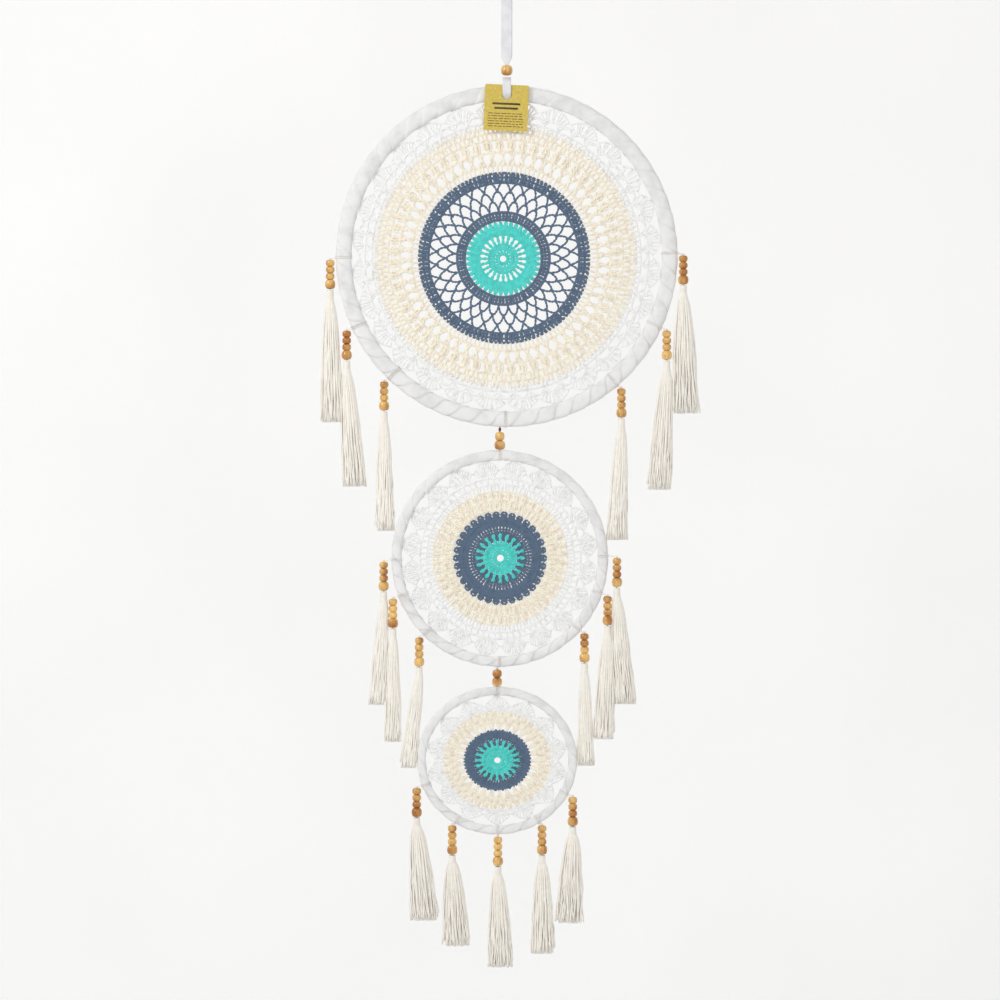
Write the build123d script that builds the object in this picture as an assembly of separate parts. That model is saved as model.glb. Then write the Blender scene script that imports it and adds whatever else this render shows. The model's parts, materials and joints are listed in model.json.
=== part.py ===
"""Hanging dream catcher: three wrapped hoops with crochet webs, beads and tassels.

Millimetres, +Z up.  The front faces -Y and +X is to the viewer's right.  The origin is
the point where a nail or hook carries the hanging strap, and everything hangs below it.
"""
from build123d import *
import os
from dataclasses import dataclass
from math import atan2, cos, degrees, radians, sin, sqrt

# ---------------------------------------------------------------- clearances
MOVING_GAP = 0.3      # between pieces that move against each other
BORE_GAP = 0.1        # between a thread and the bead it passes through
CORE_GAP = 0.1        # between a hoop's core and the ribbon wound over it

# ---------------------------------------------------------------- threads and beads
CORD_RADIUS = 0.6     # doubled cotton thread of a tassel
LINK_CORD_RADIUS = 0.8
BEAD_FLAT_SHARE = 0.38    # flat end of a bead, as a share of its radius
BEAD_FLAT_MIN = 0.2       # least width of that flat end outside the bore
BEAD_ROUNDING = 0.98      # how much of a bead's side is rounded

# ---------------------------------------------------------------- hanging strap
STRAP_DROP = 98.5     # from the hook down to the top of the strap bead
RIBBON_WIDTH = 10.5
RIBBON_THICKNESS = 0.8
EYE_RADIUS = 4.6      # inside radius of the eye that goes over the hook
EYE_LENGTH = 19.0     # from the hook down to where the two layers meet
TWIST_LENGTH = 24.0   # where the ribbon turns from edge-on to facing the front
NECK_LENGTH = 7.0     # where the ribbon is bunched above the bead
NECK_RADIUS = 1.9     # the bunched ribbon inside the bead
BUNCH_WIDTH_SHARE = 0.8   # the bunch where it enters the bead, as shares of the neck
BUNCH_DEPTH_SHARE = 0.55

STRAP_BEAD_DIAMETER = 11.0
STRAP_BEAD_HEIGHT = 9.6
STRAP_BEAD_TO_HOOP = 9.0

# ---------------------------------------------------------------- lower loop and tag
LOOP_WIDTH = 8.0
LOOP_THICKNESS = 0.8
TAG_WIDTH = 41.0
TAG_HEIGHT = 43.0
TAG_THICKNESS = 0.8
TAG_CORNER = 1.5
TAG_HOLE_RADIUS = LOOP_WIDTH / 2 + 0.6
TAG_HOLE_TO_EDGE = 9.3
TAG_LEAN = 2.5        # degrees, foot to the left
LOOP_TOP_TO_TAG_HOLE = 18.5
LOOP_SHOULDER = 6.0   # how far the legs of the loop start below its top
LOOP_PASS_RISE = 1.25     # half the height over which a leg passes through the tag
LOOP_CORNER_SHARE = 0.35  # where the loop turns under the hoop, as a share of its depth

# ---------------------------------------------------------------- hoops and crochet webs
CORE_COVER = 2.0      # ribbon wound over the hoop's core
BAND_ROUNDING = 0.46  # corner radius of a hoop's section, as a share of its smaller side
OVAL_SIDE_SHIFT = 2.1  # side arcs' centres, in units of how much wider than high it is
WEB_THICKNESS = 2.2
FAN_START_SHARE = 0.45    # how far out the white ring goes before it parts into fans
FAN_RADIUS_SHARE = 0.47   # a fan's radius, as a share of the space between fans
FAN_INSET_SHARE = 0.75    # a fan's centre inside the band, as a share of its radius


def oval_arcs(half_width, half_height):
    """Side arcs' centre offset and radius, then the top and bottom arcs' ones."""
    stretch = half_width - half_height
    if stretch == 0:
        return 0.0, half_width, 0.0, half_width
    side_shift = OVAL_SIDE_SHIFT * stretch
    spare = side_shift - stretch
    top_shift = (side_shift ** 2 - spare ** 2) / (2 * spare)
    return side_shift, half_width - side_shift, top_shift, half_height + top_shift


def oval_point(half_width, half_height, angle):
    """Point of an oval about the origin whose outward direction has this angle."""
    side_shift, side_radius, top_shift, top_radius = oval_arcs(half_width, half_height)
    across = cos(radians(angle))
    up = sin(radians(angle))
    if side_shift == 0 or abs(up) * side_shift > abs(across) * top_shift:
        shift = -top_shift if up > 0 else top_shift
        return top_radius * across, shift + top_radius * up
    shift = side_shift if across > 0 else -side_shift
    return shift + side_radius * across, side_radius * up


def oval(half_width, half_height):
    """A circle, or an oval made of four arcs that meet smoothly."""
    side_shift, _, top_shift, _ = oval_arcs(half_width, half_height)
    if side_shift == 0:
        return Circle(half_width)
    joint = degrees(atan2(top_shift, side_shift))
    corners = [oval_point(half_width, half_height, angle)
               for angle in (joint, 180 - joint, 180 + joint, 360 - joint)]
    middles = [(0, half_height), (-half_width, 0), (0, -half_height), (half_width, 0)]
    arcs = [ThreePointArc(corners[i], middles[i], corners[(i + 1) % 4]) for i in range(4)]
    return make_face(arcs)


@dataclass
class Hoop:
    """A wrapped hoop: outer size, radial width of its band, depth, and its web."""
    number: int
    width: float
    height: float
    band: float
    depth: float
    x: float            # handmade offset of its centre from the strap's line
    colour_ends: tuple  # radii where turquoise, blue and cream end, as shares of the web
    fans: int           # white fans round the edge of the web
    z: float = 0.0      # centre, set when the hoops are stacked

    @property
    def half_width(self):
        return self.width / 2

    @property
    def half_height(self):
        return self.height / 2

    def edge_point(self, angle):
        """Point on the outer edge whose outward direction has this angle from +X."""
        across, up = oval_point(self.half_width, self.half_height, angle)
        return self.x + across, self.z + up

    def lower_edge_z(self, x):
        """Height of the outer edge's lower half at a given x near the middle."""
        radius = oval_arcs(self.half_width, self.half_height)[3]
        return self.z - self.half_height + radius - sqrt(radius ** 2 - (x - self.x) ** 2)


@dataclass
class Link:
    """Thread and two beads between one hoop and the next."""
    number: int
    thread: float       # thread showing above the upper bead
    upper: tuple        # diameter and height of the upper bead
    lower: tuple        # diameter and height of the lower bead

    @property
    def drop(self):
        return self.thread + self.upper[1] + self.lower[1] + MOVING_GAP


HOOP_1 = Hoop(1, 320.0, 320.0, 15.0, 9.0, 0.0, (0.24, 0.56, 0.845), 28)
HOOP_2 = Hoop(2, 203.0, 203.0, 10.0, 7.5, -6.5, (0.24, 0.47, 0.68), 20)
HOOP_3 = Hoop(3, 150.0, 138.6, 8.7, 7.0, -9.0, (0.30, 0.47, 0.77), 14)
HOOPS = (HOOP_1, HOOP_2, HOOP_3)

LINK_1 = Link(1, 4.6, (9.0, 8.2), (10.3, 8.4))
LINK_2 = Link(2, 2.6, (9.0, 7.4), (9.6, 7.9))

STRAP_BEAD_TOP = -STRAP_DROP
STRAP_BEAD_FOOT = STRAP_BEAD_TOP - STRAP_BEAD_HEIGHT
HOOP_1.z = STRAP_BEAD_FOOT - STRAP_BEAD_TO_HOOP - HOOP_1.half_height
LINK_1_TOP = HOOP_1.lower_edge_z(HOOP_2.x)
HOOP_2.z = LINK_1_TOP - LINK_1.drop - HOOP_2.half_height
LINK_2_TOP = HOOP_2.lower_edge_z(HOOP_3.x)
HOOP_3.z = LINK_2_TOP - LINK_2.drop - HOOP_3.half_height

# ---------------------------------------------------------------- tassels
SMALL_BEADS = 3
SMALL_BEAD_DIAMETER = 8.4
SMALL_BEAD_HEIGHT = 6.2
LAST_BEAD_DIAMETER = 9.8
LAST_BEAD_HEIGHT = 8.6
BEAD_STACK = SMALL_BEADS * SMALL_BEAD_HEIGHT + LAST_BEAD_HEIGHT
KNOT_RADIUS = 0.8     # the knot above the top bead
KNOT_TO_BEAD = 0.05
KNOT_TO_EDGE = 0.15   # on top of the moving gap, so that the knot hangs clear of the hoop
BEAD_DROP = KNOT_TO_BEAD + 2 * KNOT_RADIUS + KNOT_TO_EDGE + MOVING_GAP
TASSEL_NECK_RADIUS = 3.25
TASSEL_NECK_LENGTH = 11.5
NECK_LIP = 0.3        # the fringe starts this much wider than the neck
SKIRT_SIDES = 16
SKIRT_DEPTH_SHARE = 0.55   # a skirt is flatter from front to back
SKIRT_KNEE = 0.35          # how far down a skirt it has spread most
SKIRT_KNEE_SPREAD = 0.62   # its width there, as a share of the tip's
SKIRT_KNEE_SHIFT = 0.6     # its sideways shift there, as a share of the tip's


@dataclass
class Tassel:
    """Beads and a fringe hanging from a hoop at an angle of its edge."""
    number: int
    hoop: Hoop
    angle: float
    length: float       # from the top bead to the tip
    tip_shift: float    # sideways shift of the tip
    half_width: float   # half the width of the tip
    stand_out: float = 0.0   # extra distance out, in diameters of the last bead

    @property
    def anchor(self):
        """Where the thread leaves the hoop."""
        edge_x, edge_z = self.hoop.edge_point(self.angle)
        clear = CORD_RADIUS + MOVING_GAP
        return Vector(edge_x + clear * cos(radians(self.angle)), 0,
                      edge_z + clear * sin(radians(self.angle)))

    @property
    def top(self):
        """Centre of the top bead's upper face."""
        edge_x, edge_z = self.hoop.edge_point(self.angle)
        reach = LAST_BEAD_DIAMETER * (0.5 + self.stand_out) + MOVING_GAP
        return Vector(edge_x + reach * cos(radians(self.angle)), 0, edge_z - BEAD_DROP)


TASSELS = (
    Tassel(1, HOOP_1, 180.5, 152.0, 1.6, 9.8),
    Tassel(2, HOOP_1, 205.0, 146.0, 7.2, 10.2),
    Tassel(3, HOOP_1, 226.0, 140.0, 0.7, 8.0),
    Tassel(4, HOOP_1, 310.5, 142.0, -4.1, 8.7),
    Tassel(5, HOOP_1, 335.0, 149.0, -6.7, 10.3),
    Tassel(6, HOOP_1, 1.0, 148.0, 2.4, 11.8),
    Tassel(7, HOOP_2, 180.5, 134.0, -5.9, 7.2, 0.2),
    Tassel(8, HOOP_2, 200.5, 134.0, 0.0, 7.0),
    Tassel(9, HOOP_2, 225.0, 122.0, -9.9, 6.9),
    Tassel(10, HOOP_2, 318.0, 124.0, 1.2, 7.0),
    Tassel(11, HOOP_2, 341.0, 134.0, -3.9, 9.0),
    Tassel(12, HOOP_2, 1.5, 137.0, 7.2, 9.6, 0.3),
    Tassel(13, HOOP_3, 202.0, 124.0, 7.4, 12.0),
    Tassel(14, HOOP_3, 239.5, 113.0, 3.8, 11.8),
    Tassel(15, HOOP_3, 270.5, 122.0, 2.6, 10.8),
    Tassel(16, HOOP_3, 300.5, 120.0, 0.8, 10.3),
    Tassel(17, HOOP_3, 329.5, 118.0, -3.3, 12.0),
)


# ---------------------------------------------------------------- beads
def bead(diameter, height, top, bore):
    """A barrel bead on a vertical bore, with the centre of its upper face at top."""
    radius = diameter / 2
    flat = max(radius * BEAD_FLAT_SHARE, bore + BEAD_FLAT_MIN)
    corner = BEAD_ROUNDING * min(height / 2, radius - flat)
    middle = (bore + radius) / 2
    wall = Pos(middle, -height / 2) * Rectangle(radius - bore, height)
    wall = fillet(wall.vertices().group_by(Axis.X)[-1], corner)
    ring = revolve(Plane.XZ * wall, axis=Axis.Z)
    return Pos(top.X, top.Y, top.Z) * ring.solid()


def bead_column(sizes, top, bore):
    """Beads threaded one under another; sizes are (diameter, height) from the top."""
    beads = []
    drop = 0.0
    for diameter, height in sizes:
        beads.append(bead(diameter, height, top - Vector(0, 0, drop), bore))
        drop += height
    return Compound(children=beads)


# ---------------------------------------------------------------- hoops
def oval_ring(hoop, outer_inset, inner_inset, depth):
    """Ring between two insets from the hoop's outer edge, with rounded edges."""
    outer = oval(hoop.half_width - outer_inset, hoop.half_height - outer_inset)
    inner = oval(hoop.half_width - inner_inset, hoop.half_height - inner_inset)
    flat = Plane.XZ * (outer - inner)
    ring = extrude(flat, amount=depth / 2, both=True)
    corner = BAND_ROUNDING * min(depth, inner_inset - outer_inset)
    ring = fillet(ring.edges(), corner)
    return Pos(hoop.x, 0, hoop.z) * ring.solid()


def hoop_band(hoop):
    """The whole band of a hoop, winding and core together."""
    return oval_ring(hoop, 0, hoop.band, hoop.depth)


def hoop_core(hoop, gap=CORE_GAP):
    """The stiff ring inside the winding, or with no gap the hollow that it lies in."""
    inset = CORE_COVER + gap
    return oval_ring(hoop, inset, hoop.band - inset, hoop.depth - 2 * inset)


def hoop_wrap(hoop):
    """The wound ribbon, hollow where the core lies."""
    return (hoop_band(hoop) - hoop_core(hoop, gap=0)).solid()


# ---------------------------------------------------------------- webs
def web_disc(hoop, share):
    """Flat oval of the web out to a share of its radius."""
    return oval((hoop.half_width - hoop.band) * share, (hoop.half_height - hoop.band) * share)


def as_web(hoop, sketch):
    """A sketch about the hoop's centre, made into a web layer."""
    layer = extrude(Plane.XZ * sketch, amount=WEB_THICKNESS / 2, both=True)
    return Pos(hoop.x, 0, hoop.z) * layer


def fan_discs(hoop):
    """The round fans that tie the web to the hoop, with a gap at top and bottom."""
    half_width = hoop.half_width - hoop.band
    half_height = hoop.half_height - hoop.band
    step = 360 / hoop.fans
    fan_radius = FAN_RADIUS_SHARE * radians(step) * min(half_width, half_height)
    inset = FAN_INSET_SHARE * fan_radius
    discs = []
    for index in range(hoop.fans):
        angle = radians(90 + (index + 0.5) * step)
        across = (half_width - inset) * cos(angle)
        up = (half_height - inset) * sin(angle)
        discs.append(Pos(across, up) * Circle(fan_radius))
    return discs


def web_bands(hoop):
    """The web's colours from the middle out, the white one cut to the winding."""
    ends = hoop.colour_ends
    fan_start = ends[2] + FAN_START_SHARE * (1 - ends[2])
    turquoise = web_disc(hoop, ends[0])
    blue = web_disc(hoop, ends[1]) - turquoise
    cream = web_disc(hoop, ends[2]) - web_disc(hoop, ends[1])
    white = web_disc(hoop, fan_start)
    for disc in fan_discs(hoop):
        white = white + disc
    white = white - web_disc(hoop, ends[2])
    return {
        "turquoise": as_web(hoop, turquoise).solid(),
        "blue": as_web(hoop, blue).solid(),
        "cream": as_web(hoop, cream).solid(),
        "white": (as_web(hoop, white) - hoop_band(hoop)).solid(),
    }


# ---------------------------------------------------------------- tassels
def knotted_thread(knot, end):
    """A knot and the short thread from it to the hoop."""
    along = end - knot
    arm = Solid.make_cylinder(CORD_RADIUS, along.length, Plane(knot, z_dir=along))
    return arm + Pos(knot.X, knot.Y, knot.Z) * Sphere(KNOT_RADIUS)


def skirt_section(centre_x, z, half_width):
    """Many-sided oval cross-section of a tassel's fringe."""
    depth = max(half_width * SKIRT_DEPTH_SHARE, TASSEL_NECK_RADIUS)
    corners = []
    for side in range(SKIRT_SIDES):
        angle = radians(360 * side / SKIRT_SIDES)
        corners.append((centre_x + half_width * cos(angle), depth * sin(angle), z))
    return make_face(Polyline(*corners, close=True))


def tassel_fringe(tassel):
    """Thread through the beads, the tied neck and the spread fringe, as one solid."""
    top = tassel.top
    beads_foot = top.Z - BEAD_STACK
    neck_foot = beads_foot - TASSEL_NECK_LENGTH
    tip = top.Z - tassel.length
    knee = neck_foot + (tip - neck_foot) * SKIRT_KNEE
    knot = top + Vector(0, 0, KNOT_RADIUS + KNOT_TO_BEAD)
    thread = Solid.make_cylinder(CORD_RADIUS, knot.Z - beads_foot, Plane((top.X, 0, beads_foot)))
    neck = Solid.make_cylinder(TASSEL_NECK_RADIUS, TASSEL_NECK_LENGTH, Plane((top.X, 0, neck_foot)))
    skirt = loft([
        skirt_section(top.X + tassel.tip_shift, tip, tassel.half_width),
        skirt_section(top.X + tassel.tip_shift * SKIRT_KNEE_SHIFT, knee,
                      tassel.half_width * SKIRT_KNEE_SPREAD),
        skirt_section(top.X, neck_foot, TASSEL_NECK_RADIUS + NECK_LIP),
    ], ruled=True)
    return (thread + neck + skirt + knotted_thread(knot, tassel.anchor)).solid()


def tassel_beads(tassel):
    """Three small beads over a larger one."""
    sizes = [(SMALL_BEAD_DIAMETER, SMALL_BEAD_HEIGHT)] * SMALL_BEADS
    sizes.append((LAST_BEAD_DIAMETER, LAST_BEAD_HEIGHT))
    return bead_column(sizes, tassel.top, CORD_RADIUS + BORE_GAP)


# ---------------------------------------------------------------- links
def link_pieces(link, hoop_below, top_z):
    """The thread from one hoop's foot to the next hoop's top, and its two beads."""
    foot = hoop_below.z + hoop_below.half_height + MOVING_GAP
    length = top_z - MOVING_GAP - foot
    thread = Solid.make_cylinder(LINK_CORD_RADIUS, length, Plane((hoop_below.x, 0, foot)))
    beads_top = Vector(hoop_below.x, 0, top_z - link.thread)
    beads = bead_column([link.upper, link.lower], beads_top, LINK_CORD_RADIUS + BORE_GAP)
    return thread, beads


# ---------------------------------------------------------------- strap, loop and tag
def eye_outline():
    """Inner outline of the strap's eye: a round top that closes to a point."""
    foot = Vector(0, -EYE_LENGTH)
    centre = Vector(0, -EYE_RADIUS)
    reach = (centre - foot).length
    rise = EYE_RADIUS ** 2 / reach
    side = EYE_RADIUS * sqrt(reach ** 2 - EYE_RADIUS ** 2) / reach
    with BuildSketch() as outline:
        with BuildLine():
            ThreePointArc((-side, centre.Y - rise), (0, 0), (side, centre.Y - rise))
            Polyline((side, centre.Y - rise), (0, foot.Y), (-side, centre.Y - rise))
        make_face()
    return outline.sketch


def hanging_strap():
    """Ribbon doubled over the hook, twisted to face the front, bunched into the bead."""
    inner = eye_outline()
    outer = offset(inner, amount=RIBBON_THICKNESS, kind=Kind.ARC)
    eye = extrude(Plane.XZ * (outer - inner), amount=RIBBON_WIDTH / 2, both=True)

    layers = 2 * RIBBON_THICKNESS
    twist_foot = -EYE_LENGTH - TWIST_LENGTH
    facing_front = Plane((0, 0, twist_foot)) * Rectangle(RIBBON_WIDTH, layers)
    twist = Solid.extrude_linear_with_rotation(
        facing_front.face(), Vector(0, 0, twist_foot), Vector(0, 0, TWIST_LENGTH), 90)

    neck_top = STRAP_BEAD_TOP + NECK_LENGTH
    flat_length = twist_foot - neck_top
    flat = Pos(0, 0, neck_top + flat_length / 2) * Box(RIBBON_WIDTH, layers, flat_length)

    bunch_top = Plane((0, 0, neck_top)) * Rectangle(RIBBON_WIDTH, layers)
    bunch_foot = Plane((0, 0, STRAP_BEAD_TOP)) * Rectangle(
        2 * NECK_RADIUS * BUNCH_WIDTH_SHARE, 2 * NECK_RADIUS * BUNCH_DEPTH_SHARE)
    bunch = loft([bunch_foot, bunch_top])

    plug_length = STRAP_BEAD_HEIGHT - MOVING_GAP
    plug = Solid.make_cylinder(NECK_RADIUS, plug_length, Plane((0, 0, STRAP_BEAD_TOP - plug_length)))
    return (eye + twist + flat + bunch + plug).solid()


def strap_bead():
    """The large bead that the strap passes through."""
    top = Vector(0, 0, STRAP_BEAD_TOP)
    return bead(STRAP_BEAD_DIAMETER, STRAP_BEAD_HEIGHT, top, NECK_RADIUS + MOVING_GAP)


LOOP_TOP = STRAP_BEAD_FOOT - MOVING_GAP
TAG_HOLE_Z = LOOP_TOP - LOOP_TOP_TO_TAG_HOLE
LEG_BEHIND_TAG = HOOP_1.depth / 2 + MOVING_GAP + LOOP_THICKNESS / 2
TAG_MIDDLE = LEG_BEHIND_TAG + (LOOP_THICKNESS + TAG_THICKNESS) / 2 + 2 * MOVING_GAP
LEG_BEFORE_TAG = TAG_MIDDLE + (LOOP_THICKNESS + TAG_THICKNESS) / 2 + 2 * MOVING_GAP


def strap_lower_loop():
    """Flat ribbon loop that goes through the tag's hole and round the top hoop."""
    half = LOOP_THICKNESS / 2
    band_foot = HOOP_1.z + HOOP_1.half_height - HOOP_1.band - half
    corner = HOOP_1.depth * LOOP_CORNER_SHARE
    middle = [
        (0, LOOP_TOP - half),
        (LEG_BEFORE_TAG, LOOP_TOP - LOOP_SHOULDER),
        (LEG_BEFORE_TAG, TAG_HOLE_Z + LOOP_PASS_RISE),
        (LEG_BEHIND_TAG, TAG_HOLE_Z - LOOP_PASS_RISE),
        (corner, band_foot),
        (-corner, band_foot),
        (-LEG_BEHIND_TAG, TAG_HOLE_Z - LOOP_PASS_RISE),
        (-LEG_BEHIND_TAG, LOOP_TOP - LOOP_SHOULDER),
    ]
    outline = make_face(Polyline(*middle, close=True))
    ring = offset(outline, amount=half, kind=Kind.ARC) - offset(outline, amount=-half, kind=Kind.ARC)
    side_plane = Plane(origin=(0, 0, 0), x_dir=(0, -1, 0), z_dir=(-1, 0, 0))
    loop = extrude(side_plane * ring, amount=LOOP_WIDTH / 2, both=True)
    return (loop - hoop_band(HOOP_1)).solid()


def swing_tag():
    """Card tag with a round hole near its upper edge."""
    card = Pos(0, TAG_HOLE_TO_EDGE - TAG_HEIGHT / 2) * RectangleRounded(TAG_WIDTH, TAG_HEIGHT, TAG_CORNER)
    card = card - Circle(TAG_HOLE_RADIUS)
    tag = extrude(Plane.XZ * card, amount=TAG_THICKNESS / 2, both=True)
    return Pos(0, -TAG_MIDDLE, TAG_HOLE_Z) * Rot(0, TAG_LEAN, 0) * tag.solid()


# ---------------------------------------------------------------- the whole object
def build():
    """Every piece by its node name."""
    pieces = {"hanging_strap": hanging_strap(), "strap_bead": strap_bead(), "swing_tag": swing_tag()}
    for hoop in HOOPS:
        pieces[f"hoop_{hoop.number}_core"] = hoop_core(hoop)
        pieces[f"hoop_{hoop.number}_wrap"] = hoop_wrap(hoop)
        for colour, layer in web_bands(hoop).items():
            pieces[f"web_{hoop.number}_{colour}"] = layer
    pieces["strap_lower_loop"] = strap_lower_loop()
    for link, hoop, top_z in ((LINK_1, HOOP_2, LINK_1_TOP), (LINK_2, HOOP_3, LINK_2_TOP)):
        thread, beads = link_pieces(link, hoop, top_z)
        pieces[f"link_{link.number}_thread"] = thread
        pieces[f"link_{link.number}_beads"] = beads
    for tassel in TASSELS:
        pieces[f"tassel_{tassel.number:02d}"] = tassel_fringe(tassel)
        pieces[f"tassel_{tassel.number:02d}_beads"] = tassel_beads(tassel)
    return pieces


def main():
    os.makedirs("parts", exist_ok=True)
    for name, piece in build().items():
        export_step(piece, f"parts/{name}.step")


if __name__ == "__main__":
    main()
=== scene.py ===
"""Looks of the dream catcher: crochet webs, wound hoops, beads, tassels, strap and tag.

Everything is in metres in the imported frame: +Z up, the front faces -Y, and the origin is
the point that carries the hanging strap.  Sizes come from the frame's own boxes.
"""
import bpy
import json
import math
import numpy as np
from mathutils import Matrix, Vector

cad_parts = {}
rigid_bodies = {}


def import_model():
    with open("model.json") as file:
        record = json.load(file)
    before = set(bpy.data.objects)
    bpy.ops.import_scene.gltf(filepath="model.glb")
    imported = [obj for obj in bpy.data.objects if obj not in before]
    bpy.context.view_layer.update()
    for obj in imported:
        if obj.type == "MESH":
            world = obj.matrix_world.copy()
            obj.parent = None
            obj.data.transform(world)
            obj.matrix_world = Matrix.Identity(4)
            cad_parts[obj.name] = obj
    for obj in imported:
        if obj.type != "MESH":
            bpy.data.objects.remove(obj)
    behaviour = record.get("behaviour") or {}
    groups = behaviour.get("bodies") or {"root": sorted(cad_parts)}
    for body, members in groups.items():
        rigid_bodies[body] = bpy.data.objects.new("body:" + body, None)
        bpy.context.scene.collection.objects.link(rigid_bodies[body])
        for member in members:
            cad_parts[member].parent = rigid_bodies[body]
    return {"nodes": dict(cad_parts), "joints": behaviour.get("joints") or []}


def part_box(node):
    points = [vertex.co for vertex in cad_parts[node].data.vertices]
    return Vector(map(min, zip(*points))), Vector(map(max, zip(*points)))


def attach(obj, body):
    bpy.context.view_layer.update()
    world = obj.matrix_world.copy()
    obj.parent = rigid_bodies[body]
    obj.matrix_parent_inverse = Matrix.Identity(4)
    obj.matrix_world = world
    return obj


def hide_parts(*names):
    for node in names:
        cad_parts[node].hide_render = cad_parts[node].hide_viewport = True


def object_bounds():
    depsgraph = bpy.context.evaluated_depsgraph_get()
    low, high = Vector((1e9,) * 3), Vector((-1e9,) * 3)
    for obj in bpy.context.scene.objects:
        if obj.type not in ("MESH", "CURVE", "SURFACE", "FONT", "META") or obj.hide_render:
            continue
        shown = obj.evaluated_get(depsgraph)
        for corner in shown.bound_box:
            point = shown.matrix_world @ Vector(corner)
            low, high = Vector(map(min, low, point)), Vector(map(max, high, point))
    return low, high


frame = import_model()
cad_low, cad_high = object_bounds()
rng = np.random.default_rng(7)

MM = 0.001
FRONT = np.array([0.0, 1.0, 0.0])    # the webs lie in the XZ plane, so Y is their normal
TURN = 2 * math.pi


# ================================================================ mesh building
class Tubes:
    """Collects round strands and turns them into one mesh."""
    SIDES = 6

    def __init__(self):
        self.points = []
        self.faces = []
        self.count = 0

    def add(self, paths, radius, closed=False):
        """Adds strands: paths is (strands, points, 3), radius a number or per point."""
        paths = np.asarray(paths, float)
        if paths.ndim == 2:
            paths = paths[None]
        strands, length, _ = paths.shape
        along = direction(paths, closed)
        side = unit(np.cross(along, FRONT))
        up = np.cross(side, along)
        angle = np.arange(self.SIDES) * TURN / self.SIDES
        radius = np.broadcast_to(np.asarray(radius, float), (strands, length))[..., None, None]
        ring = side[:, :, None] * np.cos(angle)[:, None] + up[:, :, None] * np.sin(angle)[:, None]
        rings = paths[:, :, None] + ring * radius
        self.points.append(rings.reshape(-1, 3))

        first = self.count + (np.arange(strands) * length * self.SIDES)[:, None, None]
        steps = length if closed else length - 1
        here = (np.arange(steps) * self.SIDES)[None, :, None]
        after = ((np.arange(steps) + 1) % length * self.SIDES)[None, :, None]
        spoke = np.arange(self.SIDES)[None, None]
        turned = (spoke + 1) % self.SIDES
        quads = np.stack([first + here + spoke, first + here + turned,
                          first + after + turned, first + after + spoke], axis=-1)
        self.faces.append(quads.reshape(-1, 4))
        if not closed:
            start = first[:, 0, 0][:, None]
            end = start + (length - 1) * self.SIDES
            for cap in ((3, 2, 1, 0), (5, 4, 3, 0)):
                self.faces.append(start + np.array(cap)[None])
            for cap in ((0, 1, 2, 3), (0, 3, 4, 5)):
                self.faces.append(end + np.array(cap)[None])
        self.count += strands * length * self.SIDES

    def make(self, name, material):
        return mesh_piece(name, np.concatenate(self.points), np.concatenate(self.faces), material)


def unit(vectors):
    size = np.linalg.norm(vectors, axis=-1, keepdims=True)
    return vectors / np.maximum(size, 1e-12)


def direction(paths, closed=False):
    """Unit tangents of strands."""
    if closed:
        return unit(np.roll(paths, -1, axis=1) - np.roll(paths, 1, axis=1))
    return unit(np.gradient(paths, axis=1))


def mesh_piece(name, points, faces, material):
    """A smooth mesh object from quads."""
    mesh = bpy.data.meshes.new(name)
    mesh.vertices.add(len(points))
    mesh.vertices.foreach_set("co", np.asarray(points, np.float32).ravel())
    mesh.loops.add(faces.size)
    mesh.loops.foreach_set("vertex_index", np.asarray(faces, np.int32).ravel())
    mesh.polygons.add(len(faces))
    mesh.polygons.foreach_set("loop_start", np.arange(0, faces.size, 4, dtype=np.int32))
    mesh.update(calc_edges=True)
    mesh.shade_smooth()
    mesh.materials.append(material)
    piece = bpy.data.objects.new(name, mesh)
    bpy.context.scene.collection.objects.link(piece)
    return piece


def grid_faces(rows, columns, wrap_rows=False, wrap_columns=False):
    """Quads of a grid of points stored row by row."""
    row = np.arange(rows if wrap_rows else rows - 1)[:, None]
    column = np.arange(columns if wrap_columns else columns - 1)[None]
    next_row = (row + 1) % rows
    next_column = (column + 1) % columns
    quads = [row * columns + column, row * columns + next_column,
             next_row * columns + next_column, next_row * columns + column]
    return np.stack(np.broadcast_arrays(*quads), axis=-1).reshape(-1, 4)


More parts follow.
